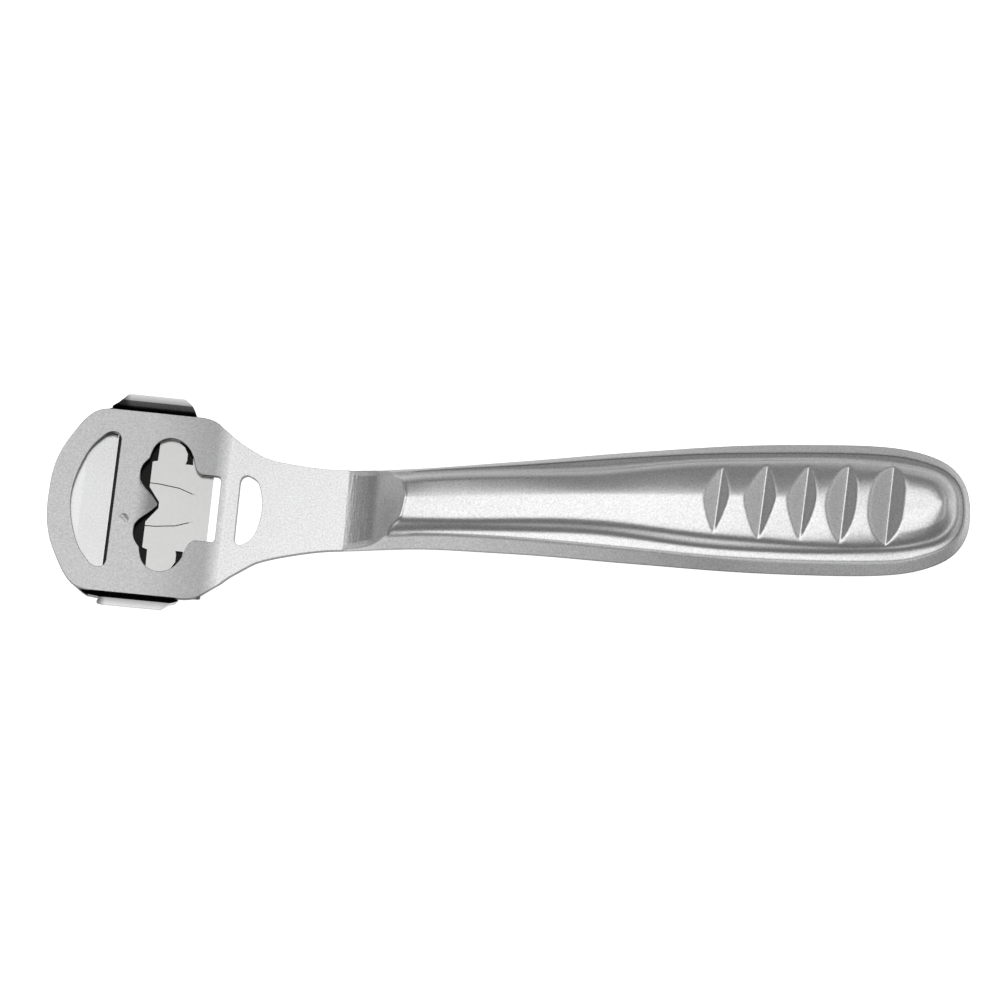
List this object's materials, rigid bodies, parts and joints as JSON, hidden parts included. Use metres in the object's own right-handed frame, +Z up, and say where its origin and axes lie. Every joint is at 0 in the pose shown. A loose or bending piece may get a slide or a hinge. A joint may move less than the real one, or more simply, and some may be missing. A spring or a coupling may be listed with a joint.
{
  "type": "callus shaver",
  "caption": "Pressed steel callus shaver: pitched head plate with windows over a thin blade and a winged guard, and a domed, grooved handle.",
  "frame": {"origin": "middle of the tool's length and width, at the height of the table that it lies on", "axes": "+X from the head to the end of the handle, +Y across the tool, +Z up from the table to the domed top"},
  "size_m": [0.1625, 0.041, 0.0088],
  "materials": {
    "handle_steel": "satin plated sheet steel",
    "blade_steel": "plain thin blade steel",
    "guard_steel": "satin plated sheet steel"
  },
  "bodies": {
    "root": {"handle": "handle_steel", "blade": "blade_steel", "blade_guard": "guard_steel"}
  },
  "joints": []
}
